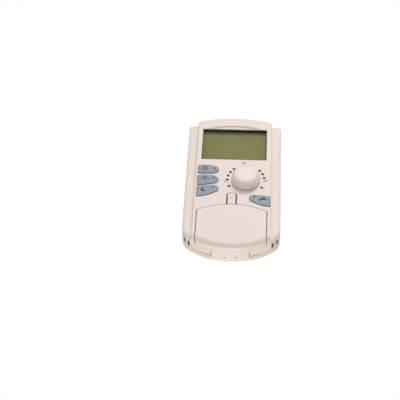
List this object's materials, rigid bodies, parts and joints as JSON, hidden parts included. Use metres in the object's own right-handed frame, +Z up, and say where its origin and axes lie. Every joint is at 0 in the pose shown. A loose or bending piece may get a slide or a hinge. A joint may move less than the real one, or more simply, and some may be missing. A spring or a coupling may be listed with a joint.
{
  "type": "wall thermostat",
  "caption": "Wall-mounted room thermostat with a large display, a set-point knob, mode buttons and service keys behind a fold-down flap.",
  "frame": {"origin": "middle of the wall plate's flat back, in the wall's plane", "axes": "+Z up the wall, +Y into the wall, -Y out into the room, +X to the right of a person facing the unit"},
  "size_m": [0.098, 0.037, 0.1724],
  "materials": {
    "cover_plastic": "fine-grained, satin, warm off-white moulded plastic",
    "button_plastic": "satin blue-grey moulded plastic",
    "clear_plastic": "clear, polished plastic",
    "display_glass": "olive reflective display glass",
    "white_plastic": "white reflector plastic",
    "dark_rubber": "soft black elastomer",
    "grey_rubber": "matt grey silicone",
    "circuit_board": "green solder-masked laminate",
    "component_black": "black moulded component plastic",
    "light_window": "smoked polished plastic",
    "steel": "plain plated steel",
    "metal_can": "drawn aluminium can"
  },
  "bodies": {
    "base": {"wall_plate": "cover_plastic", "terminal_block": "component_black", "terminal_screw_1": "steel", "terminal_screw_2": "steel", "rear_housing": "cover_plastic", "cover_screw_1": "steel", "cover_screw_2": "steel", "cover_screw_3": "steel", "cover_screw_4": "steel", "front_cover": "cover_plastic", "display_window": "clear_plastic", "window_gasket": "dark_rubber", "lcd_glass": "display_glass", "lcd_holder": "white_plastic", "backlight_panel": "white_plastic", "lcd_contact_strip_upper": "dark_rubber", "lcd_contact_strip_lower": "dark_rubber", "main_board": "circuit_board", "bus_connector": "white_plastic", "controller_chip": "component_black", "timing_crystal": "metal_can", "supply_capacitor": "metal_can", "backup_cell": "steel", "cell_holder": "component_black", "room_sensor": "component_black", "encoder_body": "metal_can", "encoder_bush": "steel", "key_mat": "grey_rubber", "lamp_sun": "clear_plastic", "lamp_auto": "clear_plastic", "lamp_moon": "clear_plastic", "lamp_tap": "clear_plastic", "switch_sun": "component_black", "switch_auto": "component_black", "switch_moon": "component_black", "switch_tap": "component_black"},
    "knob": {"knob": "cover_plastic", "control_shaft": "white_plastic"},
    "flap": {"flap": "cover_plastic", "flap_pin_left": "steel", "flap_pin_right": "steel"},
    "flap_latch": {"flap_latch": "cover_plastic"},
    "button_sun": {"button_sun": "button_plastic", "button_window_sun": "light_window"},
    "button_auto": {"button_auto": "button_plastic", "button_window_auto": "light_window"},
    "button_moon": {"button_moon": "button_plastic", "button_window_moon": "light_window"},
    "button_tap": {"button_tap": "button_plastic", "button_window_tap": "light_window"},
    "service_key_1": {"service_key_1": "grey_rubber"},
    "service_key_2": {"service_key_2": "grey_rubber"},
    "service_key_3": {"service_key_3": "grey_rubber"},
    "service_key_4": {"service_key_4": "grey_rubber"},
    "service_key_5": {"service_key_5": "grey_rubber"},
    "service_key_6": {"service_key_6": "grey_rubber"}
  },
  "joints": [
    {"name": "knob_turn", "type": "hinge", "parent": "base", "child": "knob", "pos_m": [0.0131, -0.03, -0.0008], "axis": [0, 1, 0], "range_deg": [-120, 120]},
    {"name": "flap_hinge", "type": "hinge", "parent": "base", "child": "flap", "pos_m": [0, -0.0234, -0.0744], "axis": [1, 0, 0], "range_deg": [0, 110]},
    {"name": "latch_press", "type": "hinge", "parent": "base", "child": "flap_latch", "pos_m": [0, -0.0229, -0.0204], "axis": [1, 0, 0], "range_deg": [0, 6], "stiffness_Nm_per_rad": 0.02},
    {"name": "press_sun", "type": "slide", "parent": "base", "child": "button_sun", "axis": [0, 1, 0], "range_m": [0, 0.0008], "stiffness_N_per_m": 400},
    {"name": "press_auto", "type": "slide", "parent": "base", "child": "button_auto", "axis": [0, 1, 0], "range_m": [0, 0.0008], "stiffness_N_per_m": 400},
    {"name": "press_moon", "type": "slide", "parent": "base", "child": "button_moon", "axis": [0, 1, 0], "range_m": [0, 0.0008], "stiffness_N_per_m": 400},
    {"name": "press_tap", "type": "slide", "parent": "base", "child": "button_tap", "axis": [0, 1, 0], "range_m": [0, 0.0008], "stiffness_N_per_m": 400},
    {"name": "press_key_1", "type": "slide", "parent": "base", "child": "service_key_1", "axis": [0, 1, 0], "range_m": [0, 0.0006], "stiffness_N_per_m": 300},
    {"name": "press_key_2", "type": "slide", "parent": "base", "child": "service_key_2", "axis": [0, 1, 0], "range_m": [0, 0.0006], "stiffness_N_per_m": 300},
    {"name": "press_key_3", "type": "slide", "parent": "base", "child": "service_key_3", "axis": [0, 1, 0], "range_m": [0, 0.0006], "stiffness_N_per_m": 300},
    {"name": "press_key_4", "type": "slide", "parent": "base", "child": "service_key_4", "axis": [0, 1, 0], "range_m": [0, 0.0006], "stiffness_N_per_m": 300},
    {"name": "press_key_5", "type": "slide", "parent": "base", "child": "service_key_5", "axis": [0, 1, 0], "range_m": [0, 0.0006], "stiffness_N_per_m": 300},
    {"name": "press_key_6", "type": "slide", "parent": "base", "child": "service_key_6", "axis": [0, 1, 0], "range_m": [0, 0.0006], "stiffness_N_per_m": 300}
  ]
}
